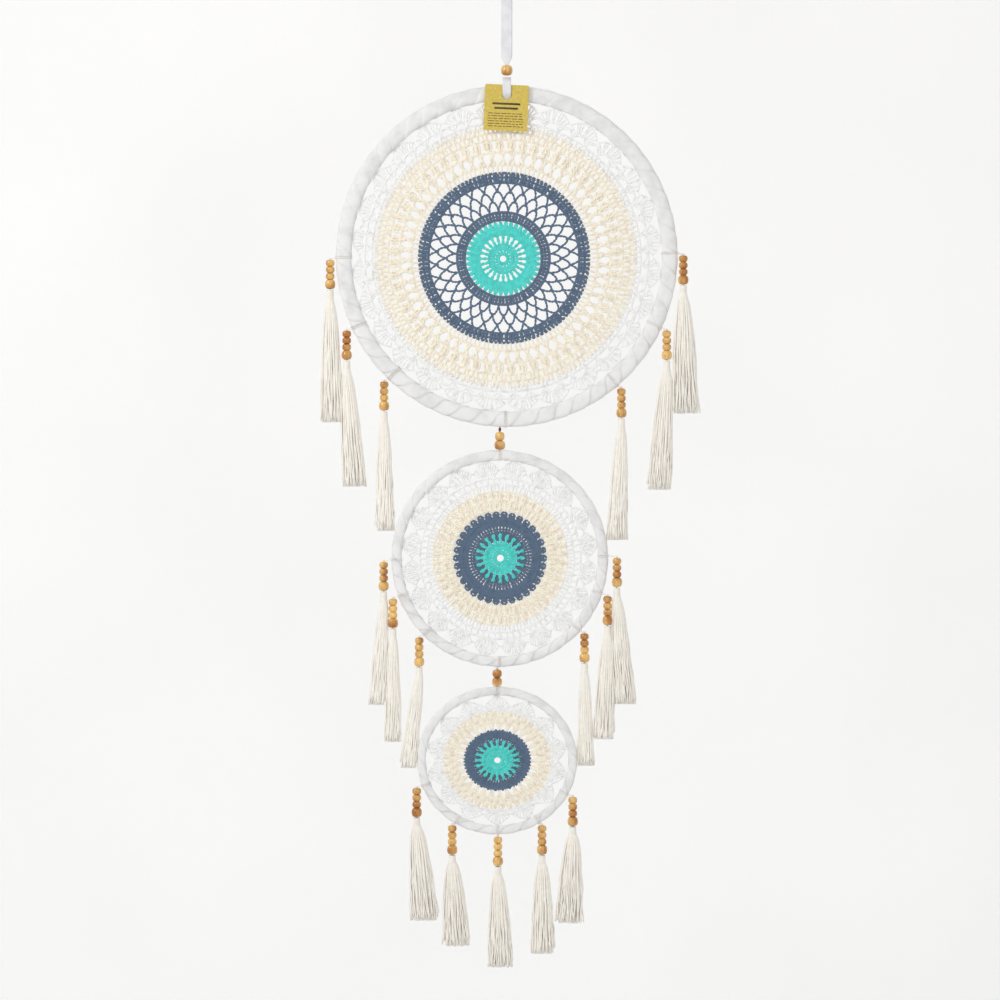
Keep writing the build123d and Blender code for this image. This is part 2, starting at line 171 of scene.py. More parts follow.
# ================================================================ materials
class Nodes:
    """Short forms for building one material's node tree."""

    def __init__(self, name):
        self.material = bpy.data.materials.new(name)
        self.material.use_nodes = True
        self.tree = self.material.node_tree
        self.shader = self.tree.nodes["Principled BSDF"]
        self.place = self.tree.nodes.new("ShaderNodeTexCoord").outputs["Object"]

    def link(self, output, socket):
        self.tree.links.new(output, socket)

    def stretched(self, x, y, z):
        node = self.tree.nodes.new("ShaderNodeMapping")
        node.inputs["Scale"].default_value = (x, y, z)
        self.link(self.place, node.inputs["Vector"])
        return node.outputs["Vector"]

    def noise(self, scale, detail=3.0, vector=None):
        node = self.tree.nodes.new("ShaderNodeTexNoise")
        node.inputs["Scale"].default_value = scale
        node.inputs["Detail"].default_value = detail
        self.link(vector or self.place, node.inputs["Vector"])
        return node.outputs["Fac"]

    def wave(self, scale, distortion, vector, axis="X"):
        node = self.tree.nodes.new("ShaderNodeTexWave")
        node.bands_direction = axis
        node.inputs["Scale"].default_value = scale
        node.inputs["Distortion"].default_value = distortion
        self.link(vector, node.inputs["Vector"])
        return node.outputs["Fac"]

    def ramp(self, factor, stops):
        node = self.tree.nodes.new("ShaderNodeValToRGB")
        elements = node.color_ramp.elements
        while len(elements) < len(stops):
            elements.new(0.5)
        for element, (position, colour) in zip(elements, stops):
            element.position = position
            element.color = (*colour, 1)
        self.link(factor, node.inputs["Fac"])
        return node.outputs["Color"]

    def bump(self, height, distance, strength=1.0, normal=None):
        node = self.tree.nodes.new("ShaderNodeBump")
        node.inputs["Distance"].default_value = distance
        node.inputs["Strength"].default_value = strength
        self.link(height, node.inputs["Height"])
        if normal is not None:
            self.link(normal, node.inputs["Normal"])
        return node.outputs["Normal"]

    def set(self, **values):
        for name, value in values.items():
            self.shader.inputs[name.replace("_", " ")].default_value = value


def linear(red, green, blue):
    """Linear colour from ordinary 0 to 255 screen values."""
    def part(value):
        share = value / 255
        return share / 12.92 if share <= 0.04045 else ((share + 0.055) / 1.055) ** 2.4
    return part(red), part(green), part(blue)


def tinted(colour, factor):
    return tuple(min(1.0, channel * factor) for channel in colour)


def yarn_material(name, colour, shade=0.86):
    """Soft cotton: fibre bump, blotchy dye and a little sheen."""
    nodes = Nodes(name)
    blotch = nodes.noise(260, 4.0)
    stops = [(0.30, tinted(colour, shade)), (0.50, colour), (0.72, tinted(colour, 1.10))]
    tone = nodes.ramp(blotch, stops)
    nodes.link(tone, nodes.shader.inputs["Base Color"])
    fibre = nodes.noise(2600, 5.0, nodes.stretched(1.0, 1.0, 1.6))
    nodes.link(nodes.bump(fibre, 0.00018, 0.9), nodes.shader.inputs["Normal"])
    nodes.set(Roughness=0.86, Sheen_Weight=0.25, Sheen_Roughness=0.5)
    return nodes.material


def ribbon_material(name, colour):
    """Thin woven ribbon: fine crossing threads and faint creases in the bump, and painted crease shade in its
    colour.
    """
    nodes = Nodes(name)
    # painted shade: random blotches darken and lighten the colour as shade in creases would
    crease = nodes.noise(90, 4.0)
    stops = [(0.25, tinted(colour, 0.86)), (0.55, colour), (0.8, tinted(colour, 1.04))]
    tone = nodes.ramp(crease, stops)
    nodes.link(tone, nodes.shader.inputs["Base Color"])
    warp = nodes.wave(520, 1.2, nodes.stretched(1, 1, 1), "X")
    weft = nodes.wave(520, 1.2, nodes.stretched(1, 1, 1), "Z")
    weave = nodes.bump(weft, 0.00009, 0.5, nodes.bump(warp, 0.00009, 0.5))
    folds = nodes.bump(nodes.noise(330, 3.0), 0.0004, 0.45, weave)
    nodes.link(folds, nodes.shader.inputs["Normal"])
    nodes.set(Roughness=0.68, Sheen_Weight=0.2, Sheen_Roughness=0.45)
    return nodes.material


def wood_material(name):
    """Varnished beads: streaked grain in tones that change from bead to bead."""
    nodes = Nodes(name)
    honey = linear(244, 200, 118)
    amber = linear(186, 118, 42)
    tone = nodes.ramp(nodes.noise(55, 1.0), [(0.38, amber), (0.62, honey)])
    grain = nodes.noise(420, 5.0, nodes.stretched(1.0, 1.0, 0.16))
    streak = nodes.ramp(grain, [(0.35, (0.66, 0.58, 0.50)), (0.55, (1.0, 1.0, 1.0))])
    mix = nodes.tree.nodes.new("ShaderNodeMix")
    mix.data_type = "RGBA"
    mix.blend_type = "MULTIPLY"
    mix.inputs["Factor"].default_value = 0.75
    nodes.link(tone, mix.inputs["A"])
    nodes.link(streak, mix.inputs["B"])
    nodes.link(mix.outputs["Result"], nodes.shader.inputs["Base Color"])
    nodes.link(nodes.bump(grain, 0.00005, 0.5), nodes.shader.inputs["Normal"])
    nodes.set(Roughness=0.3, Coat_Weight=0.6, Coat_Roughness=0.12)
    return nodes.material


def card_material(name):
    """Uncoated yellow card with faint paper mottling."""
    nodes = Nodes(name)
    mottle = nodes.noise(420, 6.0)
    tone = nodes.ramp(mottle, [(0.35, linear(204, 178, 78)), (0.65, linear(219, 195, 92))])
    nodes.link(tone, nodes.shader.inputs["Base Color"])
    nodes.link(nodes.bump(nodes.noise(2400, 4.0), 0.00006, 0.5), nodes.shader.inputs["Normal"])
    nodes.set(Roughness=0.62)
    return nodes.material


def ink_material(name):
    """Faded print on the card."""
    nodes = Nodes(name)
    tone = nodes.ramp(nodes.noise(1500, 3.0), [(0.3, linear(70, 62, 40)), (0.7, linear(96, 86, 56))])
    nodes.link(tone, nodes.shader.inputs["Base Color"])
    nodes.set(Roughness=0.6)
    return nodes.material


YARN_COLOURS = {
    "turquoise": linear(86, 222, 214),
    "blue": linear(96, 117, 142),
    "cream": linear(255, 246, 229),
    "white": linear(252, 252, 252),
}
yarns = {name: yarn_material(f"crochet_{name}", colour) for name, colour in YARN_COLOURS.items()}
cotton = yarn_material("tassel_cotton", linear(255, 250, 240), shade=0.95)
tie_thread = yarn_material("tie_thread", linear(236, 232, 226))
dark_thread = yarn_material("dark_thread", linear(120, 34, 36))
wrap_ribbon = ribbon_material("wrap_ribbon", linear(241, 241, 241))
strap_ribbon = ribbon_material("strap_ribbon", linear(236, 236, 239))
wood = wood_material("bead_wood")
card = card_material("tag_card")
ink = ink_material("tag_ink")


# ================================================================ hoops
SECTION_POWER = 0.72          # 1 gives an oval section, less gives a squarer one


class Hoop:
    """Where a hoop and its web lie, read from the frame."""

    def __init__(self, number):
        low, high = (np.array(corner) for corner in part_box(f"hoop_{number}_wrap"))
        web_low, web_high = (np.array(corner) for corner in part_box(f"web_{number}_white"))
        self.number = number
        self.body = f"hoop_{number}"
        self.centre = (low + high) / 2
        self.outer = (high - low)[[0, 2]] / 2
        self.inner = (web_high - web_low)[[0, 2]] / 2
        self.band = float((self.outer - self.inner)[0])
        self.depth = float((high - low)[1])

    def rim(self, turn, distance):
        """Points at a distance inward from the outer edge, at a share of a turn."""
        angle = np.asarray(turn) * TURN
        x = self.centre[0] + (self.outer[0] - distance) * np.cos(angle)
        z = self.centre[2] + (self.outer[1] - distance) * np.sin(angle)
        return x, z

    def section(self, around, swell=0.0):
        """Band section: inward distance and y at a share around it, from the outer edge."""
        angle = np.asarray(around) * TURN
        across = np.sign(np.cos(angle)) * np.abs(np.cos(angle)) ** SECTION_POWER
        through = np.sign(np.sin(angle)) * np.abs(np.sin(angle)) ** SECTION_POWER
        inward = self.band / 2 - (self.band / 2 + swell) * across
        return inward, -(self.depth / 2 + swell) * through


HOOPS = {number: Hoop(number) for number in (1, 2, 3)}
WIND_SPACING = 18.5 * MM      # between the ribbon's edges along the hoop
WIND_STEP = 0.65 * MM         # how far an edge stands up
WIND_STARTS = 2
WIND_MESH = 0.6 * MM          # between points along the hoop
WIND_COLUMNS = 28


def wind_hoop(hoop):
    """Ribbon wound round the hoop, with an overlapping edge at each turn."""
    mean = hoop.outer.mean() - hoop.band / 2
    turns = round(TURN * mean / WIND_SPACING)
    rows = int(TURN * mean / WIND_MESH)
    turn = (np.arange(rows) / rows)[:, None]
    around = (np.arange(WIND_COLUMNS) / WIND_COLUMNS)[None]
    wobble = 0.06 * np.sin(TURN * (7 * turn + 0.3)) + 0.05 * np.sin(TURN * (turns / 3 * turn + around))
    phase = (turns * turn - WIND_STARTS * around + wobble) % 1.0
    rise = np.clip(phase / 0.96, 0, 1)
    fall = np.clip((1 - phase) / 0.04, 0, 1)
    seam = np.exp(-(np.minimum(phase, 1 - phase) / 0.035) ** 2)
    edge = WIND_STEP * (rise * fall - seam)
    crease = 0.08 * MM * np.sin(TURN * (turns * 3.1 * turn + 2.3 * around)) * np.sin(TURN * 5 * around)
    swell = edge + crease - WIND_STEP * 0.75
    inward, y = hoop.section(around, swell)
    x, z = hoop.rim(turn, inward)
    points = np.stack(np.broadcast_arrays(x, y + hoop.centre[1], z), axis=-1).reshape(-1, 3)
    faces = grid_faces(rows, WIND_COLUMNS, True, True)
    piece = mesh_piece(f"{hoop.body}_winding", points, faces, wrap_ribbon)
    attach(piece, hoop.body)
    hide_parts(f"hoop_{hoop.number}_wrap", f"hoop_{hoop.number}_core")


# ================================================================ crochet stitches
class Web:
    """Crochet in polar places: radius as a share of the web's, angle in turns."""

    def __init__(self, hoop, yarn, shift=(0.0, 0.0)):
        self.hoop = hoop
        self.yarn = yarn
        self.shift = np.array(shift)
        self.tubes = Tubes()

    def at(self, share, turn, y=0.0):
        angle = np.asarray(turn) * TURN
        share = np.asarray(share)
        drift = 1 - share ** 2
        x = self.hoop.centre[0] + self.hoop.inner[0] * share * np.cos(angle) + self.shift[0] * drift
        z = self.hoop.centre[2] + self.hoop.inner[1] * share * np.sin(angle) + self.shift[1] * drift
        return np.stack(np.broadcast_arrays(x, y, z), axis=-1)

    def twist(self, middle, turns, closed=False, thick=1.0):
        """Two plies wound about each middle line."""
        along = direction(middle, closed)
        side = unit(np.cross(along, FRONT))
        strands, length, _ = middle.shape
        step = np.arange(length) / (length if closed else length - 1)
        start = rng.random((strands, 1)) * (0.0 if closed else 0.3)
        for ply in (0.0, 0.5):
            phase = TURN * (turns * step[None] + start + ply)
            offset = side * np.cos(phase)[..., None] + FRONT * np.sin(phase)[..., None]
            self.tubes.add(middle + offset * self.yarn * 0.85 * thick, self.yarn * thick, closed)

    def chain(self, share, y=0.0, thick=1.0):
        """A closed round of chain stitches."""
        length = TURN * share * self.hoop.inner.mean()
        count = max(6, round(length / (4.2 * MM)))
        turn = np.arange(count * 6) / (count * 6)
        self.twist(self.at(share, turn, y)[None], count, closed=True, thick=thick)

    def posts(self, turns, low, high, lean=0.0, thick=1.0, twists=1.5, points=9, bow=0.0):
        """Upright or leaning stitches; lean is in turns from foot to head."""
        step = np.linspace(0, 1, points)[None]
        turns = np.asarray(turns)[:, None]
        low = np.broadcast_to(np.asarray(low, float).reshape(-1, 1), turns.shape)
        high = np.broadcast_to(np.asarray(high, float).reshape(-1, 1), turns.shape)
        lean = np.broadcast_to(np.asarray(lean, float).reshape(-1, 1), turns.shape)
        jitter = rng.normal(0, 0.0006, turns.shape)
        share = low + (high - low) * step
        turn = turns + jitter + lean * step
        y = bow * np.sin(math.pi * step) * MM
        self.twist(self.at(share, turn, y), twists, thick=thick)

    def arches(self, count, low, high, offset=0.0, half=0.5, thick=1.0, points=17):
        """Chain arches from foot to foot."""
        step = np.linspace(0, 1, points)[None]
        middle = (np.arange(count) + offset)[:, None] / count
        turn = middle + (step - 0.5) * 2 * half / count
        share = low + (high - low) * np.sin(math.pi * step) ** 0.75
        share = share * (1 + rng.normal(0, 0.004, middle.shape))
        self.twist(self.at(share, turn), 4.0, thick=thick)

    def puffs(self, count, low, high, offset=0.0, width=0.34, thick=1.0):
        """Bulging clusters of three strands joined at foot and head."""
        step = np.linspace(0, 1, 10)[None]
        middle = (np.arange(count) + offset)[:, None] / count
        for side in (-1, 0, 1):
            turn = middle + side * width / count * np.sin(math.pi * step)
            y = (0.5 if side else -0.6) * MM * np.sin(math.pi * step)
            self.twist(self.at(low + (high - low) * step, turn, y), 1.5, thick=thick)

    def fans(self, count, stitches, low, high, foot=0.12, head=0.46, sag=0.35, offset=0.5, point=2.0,
             thick=1.0):
        """Shells of stitches spread from one foot, edged with chain."""
        spread = np.linspace(-1, 1, stitches)
        middle = (np.arange(count) + offset) / count
        turns = (middle[:, None] + foot * spread / count).ravel()
        lean = np.tile((head - foot) * spread / count, count)
        top = high - (high - low) * sag * np.abs(spread) ** point
        self.posts(turns, low, np.tile(top, count), lean, points=10, twists=2.0, thick=thick)
        step = np.linspace(-1, 1, 25)[None]
        turn = middle[:, None] + (head + 0.03) * step / count
        share = high - (high - low) * (sag + 0.1) * np.abs(step) ** point + 0.004
        self.twist(self.at(share, turn), 6.0, thick=thick)

    def finish(self, colour):
        """Makes the piece for one colour."""
        number = self.hoop.number
        piece = self.tubes.make(f"crochet_{number}_{colour}", yarns[colour])
        self.tubes = Tubes()
        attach(piece, self.hoop.body)
        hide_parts(f"web_{number}_{colour}")


def even(count, offset=0.0):
    return (np.arange(count) + offset) / count


def crochet_disc(web, edge, spokes):
    """Tight middle disc with a small hole."""
    web.chain(0.30 * edge, thick=1.1)
    web.posts(even(spokes), 0.28 * edge, 0.66 * edge, thick=1.25, twists=1.0)
    web.chain(0.66 * edge, thick=1.15, y=-0.3 * MM)
    web.posts(even(2 * spokes), 0.64 * edge, edge, thick=1.2, twists=1.0)
    web.chain(edge, thick=1.15, y=-0.2 * MM)


def crochet_star(web, disc, tip):
    """Middle disc with pointed stitches that reach into the next colour."""
    crochet_disc(web, disc, 18)
    web.posts(even(20), 0.86 * disc, tip, thick=1.6, twists=1.0, bow=-0.8)


def crochet_web_1(hoop):
    web = Web(hoop, 0.66 * MM, shift=(-3.5 * MM, -2.5 * MM))
    crochet_disc(web, 0.092, 14)
    web.posts(even(24), 0.092, 0.152, thick=1.35, twists=1.0)
    web.chain(0.155, thick=1.1)
    web.arches(42, 0.158, 0.236, half=0.40, thick=1.25)
    web.posts(even(42), 0.158, 0.225, thick=1.2)
    web.posts(even(42, 0.5), 0.158, 0.195, thick=1.2)
    web.finish("turquoise")

    web.chain(0.250, thick=1.2)
    web.posts(even(80), 0.243, 0.298, thick=1.45)
    web.chain(0.298, thick=1.25, y=-0.3 * MM)
    rows = np.linspace(0.302, 0.482, 4)
    for index in range(3):
        web.arches(32, rows[index], rows[index + 1] + 0.008, offset=0.5 * (index % 2), half=0.52, thick=1.0)
    web.chain(0.487, thick=1.15)
    group = np.array([-0.36, -0.12, 0.12, 0.36])
    groups = ((np.arange(32)[:, None] + 0.5 + group) / 32).ravel()
    web.posts(groups, 0.487, 0.552, thick=1.65)
    web.chain(0.520, thick=1.1, y=0.4 * MM)
    web.chain(0.548, thick=1.3)
    web.finish("blue")

    web.posts(even(122), 0.540, 0.602, thick=1.05, bow=-0.9)
    web.chain(0.600, thick=1.15)
    web.posts(even(60), 0.602, 0.680, lean=0.5 / 60, thick=1.45)
    web.posts(even(60, 0.5), 0.602, 0.680, lean=-0.5 / 60, thick=1.45)
    web.chain(0.682, thick=1.2)
    web.puffs(60, 0.682, 0.758, offset=0.5, width=0.30, thick=1.5)
    web.chain(0.760, thick=1.2)
    web.posts(even(160), 0.757, 0.802, thick=1.45)
    web.chain(0.803, thick=1.15)
    web.posts(even(160, 0.5), 0.800, 0.845, thick=1.45)
    web.finish("cream")

    web.posts(even(160), 0.828, 0.868, thick=1.15, bow=-0.6)
    web.chain(0.868, thick=1.25)
    web.arches(56, 0.868, 0.915, half=0.5, thick=1.15)
    web.posts(even(56, 0.5), 0.868, 0.915, thick=1.15)
    web.chain(0.916, thick=1.2)
    web.fans(28, 9, 0.912, 0.992, foot=0.26, head=0.43, sag=0.55, thick=1.0)
    web.finish("white")


def crochet_web_2(hoop):
    web = Web(hoop, 0.62 * MM, shift=(0.4 * MM, 0.3 * MM))
    crochet_star(web, 0.155, 0.252)
    web.finish("turquoise")

    web.posts(even(60), 0.175, 0.335, twists=2.5, thick=1.5, bow=0.8)
    web.chain(0.336, thick=1.2)
    group = np.array([-0.36, -0.12, 0.12, 0.36])
    groups = ((np.arange(34)[:, None] + group) / 34).ravel()
    web.posts(groups, 0.336, 0.452, twists=2.0, thick=1.25)
    web.chain(0.395, thick=1.1, y=-0.5 * MM)
    web.arches(34, 0.425, 0.474, half=0.44, thick=1.15)
    web.finish("blue")

    web.posts(even(34, 0.5), 0.425, 0.520, thick=1.3, bow=0.5)
    web.arches(34, 0.480, 0.512, thick=1.2)
    web.puffs(34, 0.495, 0.590, offset=0.5, width=0.30, thick=1.3)
    web.puffs(34, 0.480, 0.590, width=0.22, thick=1.3)
    web.chain(0.592, thick=1.2)
    web.puffs(46, 0.592, 0.682, offset=0.5, width=0.32, thick=1.3)
    web.chain(0.684, thick=1.2)
    web.finish("cream")

    group = np.linspace(-0.40, 0.40, 6)
    groups = ((np.arange(20)[:, None] + group) / 20).ravel()
    web.posts(groups, 0.684, 0.755, thick=1.2)
    web.chain(0.756, thick=1.2)
    web.posts(even(80), 0.756, 0.822, lean=0.25 / 80, thick=1.2)
    web.chain(0.822, thick=1.2)
    web.fans(20, 11, 0.820, 0.992, foot=0.22, head=0.44, sag=0.50, thick=1.1)
    web.finish("white")


def crochet_web_3(hoop):
    web = Web(hoop, 0.58 * MM, shift=(0.3 * MM, 0.2 * MM))
    crochet_star(web, 0.20, 0.315)
    web.finish("turquoise")

    web.posts(even(56), 0.225, 0.455, twists=3.0, thick=1.45, bow=0.8)
    web.posts(even(56, 0.5), 0.345, 0.475, thick=1.3, bow=0.3)
    web.chain(0.440, thick=1.3)
    web.finish("blue")

    for lean in (-0.36, -0.12, 0.12, 0.36):
        web.posts(even(29), 0.462, 0.588, lean=lean / 29, twists=2.0, thick=1.15)
    web.chain(0.590, thick=1.2)
    web.puffs(40, 0.590, 0.678, width=0.32, thick=1.15)
    web.chain(0.680, thick=1.15)
    web.puffs(40, 0.680, 0.768, offset=0.5, width=0.32, thick=1.15)
    web.finish("cream")

    web.chain(0.772, thick=1.15)
    web.arches(28, 0.774, 0.850, half=0.52, thick=1.1)
    web.arches(28, 0.774, 0.825, offset=0.5, half=0.52, thick=1.0)
    web.fans(14, 9, 0.800, 0.988, foot=0.22, head=0.42, sag=0.60, point=1.3, thick=1.0)
    web.finish("white")


# ================================================================ beads
BEAD_SPOKES = 36


def lathe_bead(low, high, turned, flare):
    """Points and faces of one barrel bead in a box, with a small hole."""
    centre = (low + high) / 2
    radius = (high - low)[0] / 2
    half = (high - low)[2] / 2
    hole = min(0.20 * radius, 1.0 * MM)
    angle = np.linspace(-0.5, 0.5, 17) * math.pi
    end = max(hole, 0.34 * radius)
    profile_r = end + (radius - end) * np.cos(angle) ** flare
    profile_z = half * np.sin(angle)
    profile_r = np.concatenate([[hole, hole], profile_r, [hole, hole]])
    profile_z = np.concatenate([[0, -0.92 * half], profile_z, [0.92 * half, 0]])
    turn = (np.arange(BEAD_SPOKES) / BEAD_SPOKES + turned) * TURN
    x = centre[0] + profile_r[:, None] * np.cos(turn)
    y = centre[1] + profile_r[:, None] * np.sin(turn)
    z = np.broadcast_to(centre[2] + profile_z[:, None], x.shape)
    points = np.stack([x, y, z], axis=-1).reshape(-1, 3)
    return points, grid_faces(len(profile_r), BEAD_SPOKES, True, True)


def bead_piece(node, body, heights, diameters):
    """Barrel beads that replace a node's column of beads, listed from the top."""
    low, high = (np.array(corner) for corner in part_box(node))
    centre = (low + high) / 2
    points = []
    faces = []
    top = high[2]
    share = (high[2] - low[2]) / sum(heights)
    scale = (high[0] - low[0]) / max(diameters)
    count = 0
    for height, diameter in zip(heights, diameters):
        half = np.array([diameter * scale / 2, diameter * scale / 2, 0])
        foot = top - height * share
        bead_low = np.array([centre[0], centre[1], foot]) - half
        bead_high = np.array([centre[0], centre[1], top]) + half
        bead_points, bead_faces = lathe_bead(bead_low, bead_high, rng.random(), rng.uniform(0.62, 0.78))
        points.append(bead_points)
        faces.append(bead_faces + count)
        count += len(bead_points)
        top = foot
    piece = mesh_piece(f"{node}_turned", np.concatenate(points), np.concatenate(faces), wood)
    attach(piece, body)
    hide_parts(node)


# ================================================================ tassels
TASSEL_BEAD_HEIGHTS = (6.2, 6.2, 6.2, 8.6)
TASSEL_BEAD_DIAMETERS = (8.4, 8.4, 8.4, 9.8)
KNOT_RISE = 0.8 * MM          # knot above the top bead
NECK_LENGTH = 11.5 * MM       # wound part under the beads
NECK_HALF = 2.4 * MM
NECK_COILS = 9
STRANDS = 108
STRAND_POINTS = 21
GOLDEN_ANGLE = math.pi * (3 - math.sqrt(5))
RAGGED = 7 * MM               # how much shorter the shortest strands are


def joint_place(child):
    """Where the joint that carries a body is."""
    return np.array(next(joint for joint in frame["joints"] if joint["child"] == child)["pos_m"])


def tassel_thread(tubes, knot, anchor, beads_foot):
    """Doubled thread from the hoop to the knot, and down through the beads."""
    step = np.linspace(0, 1, 12)[:, None]
    for side in (-0.35, 0.35):
        route = knot + (anchor - knot) * step
        route[:, 1] += side * MM
        tubes.add(route, 0.38 * MM)
    tubes.add(np.linspace(knot, [knot[0], 0, beads_foot - 1 * MM], 8), 0.55 * MM)
    turn = np.linspace(0, 2, 26)
    tubes.add(np.stack([knot[0] + 0.7 * MM * np.cos(turn * TURN), 0.7 * MM * np.sin(turn * TURN),
                        knot[2] - 0.2 * MM + 0.5 * MM * turn], axis=-1), 0.4 * MM)


def tassel_neck(tubes, x, neck_top):
    """Thread wound round the top of the strands."""
    turn = np.linspace(0, NECK_COILS, NECK_COILS * 14)
    swell = NECK_HALF + 0.15 * MM + 0.35 * MM * np.sin(math.pi * turn / NECK_COILS)
    drop = 2.0 * MM + (NECK_LENGTH - 3.0 * MM) * turn / NECK_COILS
    coil = np.stack([x + swell * np.cos(turn * TURN), swell * np.sin(turn * TURN), neck_top - drop], axis=-1)
    tubes.add(coil, 0.52 * MM)


def tassel_strands(tubes, node, x, neck_top):
    """Loose wavy strands that spread below the neck."""
    low, high = (np.array(corner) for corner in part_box(node))
    reach = fringe_reach(node, low[2])
    ring = np.sqrt((np.arange(STRANDS) + 0.5) / STRANDS)
    bearing = np.arange(STRANDS) * GOLDEN_ANGLE
    across = (ring * np.cos(bearing))[:, None]
    through = (ring * np.sin(bearing))[:, None]
    step = np.linspace(0, 1, STRAND_POINTS)[None]
    fall = np.clip(step * 1.10 - 0.10, 0, 1)
    spread = np.where(step < 0.10, 0, fall ** 0.42)
    centre_x = x + (reach["centre"] - x) * fall
    half = reach["half"] * (1.06 + 0.12 * np.sin(bearing * 3.3))[:, None]
    x_half = NECK_HALF + (half - NECK_HALF) * spread
    y_half = NECK_HALF + (reach["depth"] - NECK_HALF) * spread
    wave = rng.uniform(0.3, 1.1, (STRANDS, 1)) * MM * fall
    cycles = rng.uniform(1.2, 4.0, (STRANDS, 1))
    start = rng.random((STRANDS, 1))
    strand_x = centre_x + across * x_half + wave * np.sin(TURN * (cycles * step + start))
    strand_y = through * y_half + wave * 0.7 * np.cos(TURN * (cycles * step + start * 2))
    strand_x = np.clip(strand_x, low[0] - 1.5 * MM, high[0] + 1.5 * MM)
    ends = low[2] + rng.random((STRANDS, 1)) ** 2 * RAGGED
    top = neck_top - 0.8 * MM
    strand_z = np.broadcast_to(top + (ends - top) * step, strand_x.shape)
    thickness = rng.uniform(0.54, 0.72, (STRANDS, 1)) * MM
    tubes.add(np.stack([strand_x, strand_y, strand_z], axis=-1), thickness)


def fringe_reach(node, foot):
    """Middle, half width and half depth of a fringe's tip, from its node's own points."""
    mesh = frame["nodes"][node].data
    points = np.empty(len(mesh.vertices) * 3)
    mesh.vertices.foreach_get("co", points)
    points = points.reshape(-1, 3)
    tip = points[points[:, 2] < foot + 0.2 * MM]
    left, right = tip[:, 0].min(), tip[:, 0].max()
    return {"centre": (left + right) / 2, "half": (right - left) / 2, "depth": np.abs(tip[:, 1]).max()}


def tassel(number):
    """Thread, wound neck and loose strands of one tassel as one piece, and its beads."""
    node = f"tassel_{number:02d}"
    bead_low, bead_high = (np.array(corner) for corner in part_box(f"{node}_beads"))
    x = (bead_low[0] + bead_high[0]) / 2
    tubes = Tubes()
    tassel_thread(tubes, np.array([x, 0, bead_high[2] + KNOT_RISE]), joint_place(node), bead_low[2])
    tassel_neck(tubes, x, bead_low[2])
    tassel_strands(tubes, node, x, bead_low[2])
    piece = tubes.make(f"{node}_fringe", cotton)
    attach(piece, node)
    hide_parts(node)
    bead_piece(f"{node}_beads", node, TASSEL_BEAD_HEIGHTS, TASSEL_BEAD_DIAMETERS)


# ================================================================ ties and links
TIE_SHIFT = 0.9048 * MM       # half the distance between a tie's two rounds


def tie_round_band(tubes, hoop, turn):
    """A thread tied twice round the hoop's band at a place on it."""
    inward, y = hoop.section(np.arange(40) / 40, 0.35 * MM)
    for shift in (-TIE_SHIFT, TIE_SHIFT):
        x, z = hoop.rim(turn + shift / (TURN * hoop.outer.mean()), inward)
        tubes.add(np.stack([x, y, z], axis=-1), 0.42 * MM, closed=True)


def ties(hoop, places):
    tubes = Tubes()
    for turn in places:
        tie_round_band(tubes, hoop, turn)
    piece = tubes.make(f"{hoop.body}_ties", tie_thread)
    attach(piece, hoop.body)


def place_on(hoop, x, z):
    """Share of a turn of the hoop's edge nearest to a point."""
    return math.atan2((z - hoop.centre[2]) / hoop.outer[1], (x - hoop.centre[0]) / hoop.outer[0]) / TURN


def link(number, heights, diameters):
    """Thread, knots and beads between two hoops."""
    node = f"link_{number}_thread"
    body = f"link_{number}"
    low, high = (np.array(corner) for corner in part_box(node))
    x = (low[0] + high[0]) / 2
    tubes = Tubes()
    step = np.linspace(0, 1, 40)
    for ply in (0, 0.5):
        turn = TURN * (step * 5 + ply)
        tubes.add(np.stack([x + 0.42 * MM * np.cos(turn), 0.42 * MM * np.sin(turn),
                            high[2] + (low[2] - high[2]) * step], axis=-1), 0.45 * MM)
    bead_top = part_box(f"link_{number}_beads")[1][2]
    knot_z = (bead_top + high[2]) / 2
    turn = np.linspace(0, 3, 50)
    tubes.add(np.stack([x + 1.0 * MM * np.cos(turn * TURN), 1.0 * MM * np.sin(turn * TURN),
                        knot_z - 0.8 * MM + 0.6 * MM * turn], axis=-1), 0.42 * MM)
    piece = tubes.make(f"link_{number}_cord", dark_thread if number == 1 else tie_thread)
    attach(piece, body)
    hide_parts(node)
    bead_piece(f"link_{number}_beads", body, heights, diameters)


# ================================================================ strap and tag
def ribbon_mesh(name, middle, sideways, width, thickness, material, closed=False):
    """A flat ribbon along a middle line: sideways points across its width."""
    across = np.linspace(-1, 1, 9)
    along = direction(middle[None], closed)[0]
    normal = unit(np.cross(sideways, along))
    rim = np.concatenate([across, across[::-1]])
    face = np.concatenate([np.ones(9), -np.ones(9)]) * np.sqrt(np.clip(1.05 - rim ** 2, 0.05, 1)) ** 0.3
    points = (middle[:, None] + sideways[:, None] * rim[None, :, None] * width[:, None, None] / 2
              + normal[:, None] * face[None, :, None] * thickness / 2)
    rows, columns = points.shape[:2]
    faces = [grid_faces(rows, columns, closed, True)]
    if not closed:
        for base in (0, (rows - 1) * columns):
            low = base + np.arange(8)
            cap = np.stack([low, low + 1, base + 16 - np.arange(8), base + 17 - np.arange(8)], axis=-1)
            faces.append(cap if base else cap[:, ::-1])
    return mesh_piece(name, points.reshape(-1, 3), np.concatenate(faces), material)


EYE_FOOT = -19 * MM           # where the strap's two layers part to go over the hook
TWIST_FOOT = EYE_FOOT - 24 * MM
EYE_RADIUS = 5.0 * MM
BUNCH_LENGTH = 9 * MM         # where the ribbon narrows into the bead
BUNCH_WIDTH = 3.4 * MM
STRAP_WIDTH = 10.5 * MM
LAYER_SHIFT = 0.45 * MM


def smooth(share):
    """Eases a share from 0 to 1 at both ends."""
    return share * share * (3 - 2 * share)


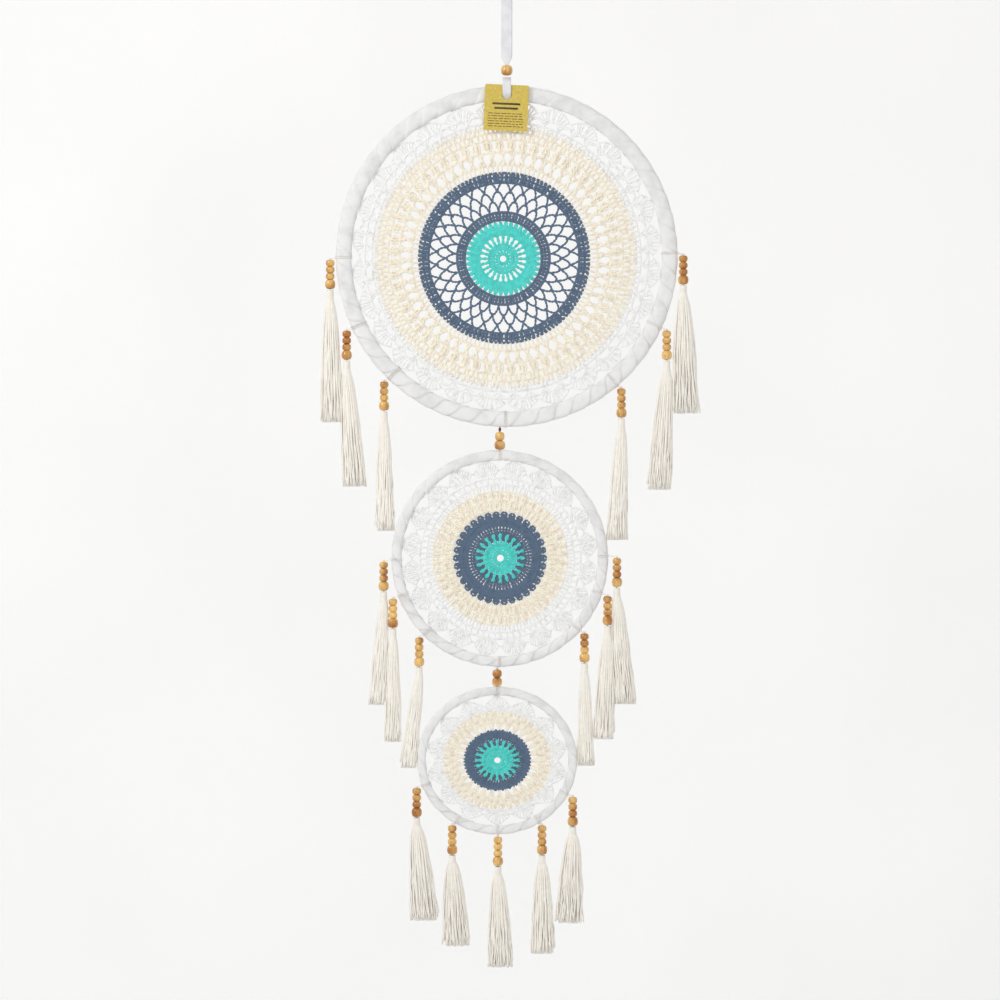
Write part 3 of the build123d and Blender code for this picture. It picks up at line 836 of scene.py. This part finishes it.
def eye_route():
    """One leg up to the hook, over it and down the other side, without the straight legs."""
    rise = np.linspace(0, 1, 12)[1:]
    up = np.stack([-EYE_RADIUS * np.sin(rise * math.pi / 2) ** 1.2, 0 * rise,
                   EYE_FOOT + (-EYE_RADIUS - EYE_FOOT) * rise], axis=-1)
    over = np.linspace(0, math.pi, 18)
    arc = np.stack([-EYE_RADIUS * np.cos(over), 0 * over,
                    -EYE_RADIUS + (EYE_RADIUS + 0.4 * MM) * np.sin(over)], axis=-1)[1:-1]
    return np.concatenate([up, arc, up[::-1] * np.array([-1, 1, 1])])


def hanging_strap():
    """Ribbon up from the bead, over the hook and down again, and the line down its middle."""
    bead_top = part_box("strap_bead")[1][2]
    leg_z = np.linspace(bead_top - 6 * MM, EYE_FOOT, 60)
    leg = np.stack([0 * leg_z, 0 * leg_z, leg_z], axis=-1)
    middle = np.concatenate([leg, eye_route(), leg[::-1]])
    height = middle[:, 2]
    angle = smooth(np.clip((height - TWIST_FOOT) / (EYE_FOOT - TWIST_FOOT), 0, 1)) * math.pi / 2
    sideways = np.stack([np.cos(angle), np.sin(angle), 0 * angle], axis=-1)
    normal = np.stack([-np.sin(angle), np.cos(angle), 0 * angle], axis=-1)
    opened = smooth(np.clip((height - bead_top) / BUNCH_LENGTH, 0, 1))
    width = BUNCH_WIDTH + (STRAP_WIDTH - BUNCH_WIDTH) * opened
    first_half = np.arange(len(middle)) < len(middle) / 2
    layer = np.where(first_half, -1, 1) * (height <= EYE_FOOT + 1e-6)
    middle = middle + normal * (layer * LAYER_SHIFT)[:, None]
    piece = ribbon_mesh("strap", middle, sideways, width, 0.7 * MM, strap_ribbon)
    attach(piece, "strap")
    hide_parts("hanging_strap")
    foot = float(bead_top - 4 * MM)
    mid_line = [(0.0, 0.0, foot + (0.5 * MM - foot) * step) for step in np.linspace(0, 1, 12)]
    return piece, mid_line


TAG_LEAN = math.radians(2.5)  # how far the card hangs out of upright
HEADING_LINES = 2
HEADING_TOP = -9.5 * MM       # below the tag's hinge
HEADING_STEP = 4.2 * MM
HEADING_WIDTH = 26 * MM
HEADING_HEIGHT = 1.9 * MM
SMALL_LINES = 6
SMALL_TOP = -18.0 * MM
SMALL_STEP = 2.4 * MM
SMALL_HALF = 16.5 * MM
SMALL_HEIGHT = 0.65 * MM
DASH_GAP = 1.0 * MM


def swing_tag():
    """Material for the card, and generic dashes where a tag has print."""
    node = frame["nodes"]["swing_tag"]
    node.data.materials.clear()
    node.data.materials.append(card)
    low, high = (np.array(corner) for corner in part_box("swing_tag"))
    hinge = joint_place("tag")
    points = []
    faces = []

    def dash(x, z, width, height):
        corners = [(x, z), (x + width, z), (x + width, z + height), (x, z + height)]
        base = len(points)
        for y in (low[1] - 0.03 * MM, low[1] + 0.05 * MM):
            for px, pz in corners:
                points.append((hinge[0] + px * math.cos(TAG_LEAN) + pz * math.sin(TAG_LEAN), y,
                               hinge[2] - px * math.sin(TAG_LEAN) + pz * math.cos(TAG_LEAN)))
        faces.append((base, base + 1, base + 2, base + 3))
        faces.append((base + 7, base + 6, base + 5, base + 4))
        for edge in range(4):
            after = (edge + 1) % 4
            faces.append((base + after, base + edge, base + 4 + edge, base + 4 + after))

    for line in range(HEADING_LINES):
        width = HEADING_WIDTH - 4 * MM * line
        dash(-width / 2, HEADING_TOP - HEADING_STEP * line, width, HEADING_HEIGHT)
    for line in range(SMALL_LINES):
        x = -SMALL_HALF
        while x < SMALL_HALF - 1.5 * MM:
            width = min(rng.uniform(2.0, 6.0) * MM, SMALL_HALF - x)
            dash(x, SMALL_TOP - SMALL_STEP * line, width, SMALL_HEIGHT)
            x += width + DASH_GAP
    piece = mesh_piece("tag_print", np.array(points), np.array(faces), ink)
    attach(piece, "tag")


LOOP_THICKNESS = 0.8 * MM
LOOP_SHOULDER = 6.0 * MM
LOOP_PASS_RISE = 1.25 * MM    # half the height over which the loop passes through the tag
LOOP_CORNER_SHARE = 0.35      # where it turns under the hoop, as a share of the hoop's depth


def rounded(points, rounds=3):
    """Closed line with its corners cut, more finely each round."""
    for _ in range(rounds):
        after = np.roll(points, -1, axis=0)
        points = np.stack([0.75 * points + 0.25 * after, 0.25 * points + 0.75 * after], axis=1).reshape(-1, 3)
    return points


def lower_loop():
    """Narrow ribbon through the tag's hole and round the top hoop."""
    low, high = (np.array(corner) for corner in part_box("strap_lower_loop"))
    hole_z = joint_place("tag")[2]
    width = high[0] - low[0]
    front = low[1] + LOOP_THICKNESS / 2
    back = high[1] - LOOP_THICKNESS / 2
    top = high[2] - LOOP_THICKNESS / 2
    foot = low[2] + LOOP_THICKNESS / 2
    shoulder = high[2] - LOOP_SHOULDER
    above = hole_z + LOOP_PASS_RISE
    below = hole_z - LOOP_PASS_RISE
    corner = LOOP_CORNER_SHARE * HOOPS[1].depth
    route = [(0, top), (front, shoulder), (front, above), (-back, below),
             (-corner, foot), (corner, foot), (back, below), (back, shoulder)]
    middle = rounded(np.array([(0, y, z) for y, z in route]))
    sideways = np.tile([1.0, 0.0, 0.0], (len(middle), 1))
    piece = ribbon_mesh("tag_loop", middle, sideways, np.full(len(middle), width), LOOP_THICKNESS,
                        strap_ribbon, closed=True)
    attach(piece, "hoop_1")
    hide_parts("strap_lower_loop")


# ================================================================ stage
WALL_Y = 0.95                 # behind the hoops even when they all swing back
FLOOR_DROP = 0.25             # under the lowest tassel


def stage():
    """Pale wall seen from the front only, pale floor and soft light."""
    floor_z = cad_low[2] - FLOOR_DROP
    nodes = Nodes("pale_wall")
    tone = nodes.ramp(nodes.noise(3, 2.0), [(0.3, (0.80, 0.80, 0.80)), (0.7, (0.84, 0.84, 0.84))])
    nodes.link(tone, nodes.shader.inputs["Base Color"])
    nodes.set(Roughness=0.9, Emission_Color=(1.0, 1.0, 0.995, 1.0), Emission_Strength=0.27)
    clear = nodes.tree.nodes.new("ShaderNodeBsdfTransparent")
    mix = nodes.tree.nodes.new("ShaderNodeMixShader")
    side = nodes.tree.nodes.new("ShaderNodeNewGeometry")
    nodes.link(side.outputs["Backfacing"], mix.inputs[0])
    nodes.link(nodes.shader.outputs[0], mix.inputs[1])
    nodes.link(clear.outputs[0], mix.inputs[2])
    nodes.link(mix.outputs[0], nodes.tree.nodes["Material Output"].inputs["Surface"])
    wall_corners = [(-3, WALL_Y, floor_z), (3, WALL_Y, floor_z), (3, WALL_Y, 2), (-3, WALL_Y, 2)]
    wall = mesh_piece("wall", np.array(wall_corners), np.array([(0, 1, 2, 3)]), nodes.material)
    ground = Nodes("pale_floor")
    tone = ground.ramp(ground.noise(4, 2.0), [(0.3, (0.76, 0.765, 0.775)), (0.7, (0.80, 0.80, 0.805))])
    ground.link(tone, ground.shader.inputs["Base Color"])
    ground.set(Roughness=0.8)
    floor_corners = [(-3, -3, floor_z), (3, -3, floor_z), (3, 3, floor_z), (-3, 3, floor_z)]
    floor = mesh_piece("floor", np.array(floor_corners), np.array([(0, 1, 2, 3)]), ground.material)

    def area(name, place, aim, size, power):
        data = bpy.data.lights.new(name, "AREA")
        data.shape = "SQUARE"
        data.size = size
        data.energy = power
        lamp = bpy.data.objects.new(name, data)
        lamp.location = place
        bpy.context.scene.collection.objects.link(lamp)
        lamp.rotation_euler = (Vector(aim) - Vector(place)).to_track_quat("-Z", "Y").to_euler()

    middle = (0, 0, (cad_low[2] + cad_high[2]) / 2)
    area("key", (-1.4, -1.2, 0.5), middle, 0.6, 14)
    area("fill", (0.6, -2.4, -0.3), middle, 1.8, 12)
    area("back", (0.8, 1.8, 0.3), middle, 1.5, 14)
    world = bpy.data.worlds.new("studio")
    world.use_nodes = True
    sky = world.node_tree.nodes["Background"]
    sky.inputs["Color"].default_value = (1.0, 0.99, 0.975, 1)
    sky.inputs["Strength"].default_value = 0.56
    bpy.context.scene.world = world
    bpy.context.scene.view_settings.view_transform = "Standard"


VIEW_WIDTH = 0.9357           # seen from side to side at the hoops, in metres
VIEW_DISTANCE = 3.0
VIEW_MIDDLE = (-0.0063, -0.5053)
SENSOR = 36                   # camera sensor, in millimetres


def camera():
    """Square-on camera that frames the object as the photograph does."""
    data = bpy.data.cameras.new("camera")
    data.sensor_width = SENSOR
    data.lens = SENSOR * VIEW_DISTANCE / VIEW_WIDTH
    view = bpy.data.objects.new("camera", data)
    view.location = (VIEW_MIDDLE[0], -VIEW_DISTANCE, VIEW_MIDDLE[1])
    view.rotation_euler = (math.pi / 2, 0, 0)
    bpy.context.scene.collection.objects.link(view)
    bpy.context.scene.camera = view


# ================================================================ making it
camera()
strap_piece, strap_line = hanging_strap()
lower_loop()
swing_tag()
bead_piece("strap_bead", "hanger", (9.6,), (11.0,))
for hoop in HOOPS.values():
    wind_hoop(hoop)
crochet_web_1(HOOPS[1])
crochet_web_2(HOOPS[2])
crochet_web_3(HOOPS[3])
link(1, (8.2, 8.4), (9.0, 10.3))
link(2, (7.4, 7.9), (9.0, 9.6))
tie_places = {1: [], 2: [], 3: []}
for joint in frame["joints"]:
    if joint["child"].startswith("tassel_"):
        number = int(joint["parent"][-1])
        tie_places[number].append(place_on(HOOPS[number], joint["pos_m"][0], joint["pos_m"][2]))
        tassel(int(joint["child"][-2:]))
tie_places[1].append(place_on(HOOPS[1], HOOPS[2].centre[0], -1.0))
tie_places[2] += [0.25, place_on(HOOPS[2], HOOPS[3].centre[0], -1.0)]
tie_places[3].append(0.25)
for number, places in tie_places.items():
    ties(HOOPS[number], places)
stage()
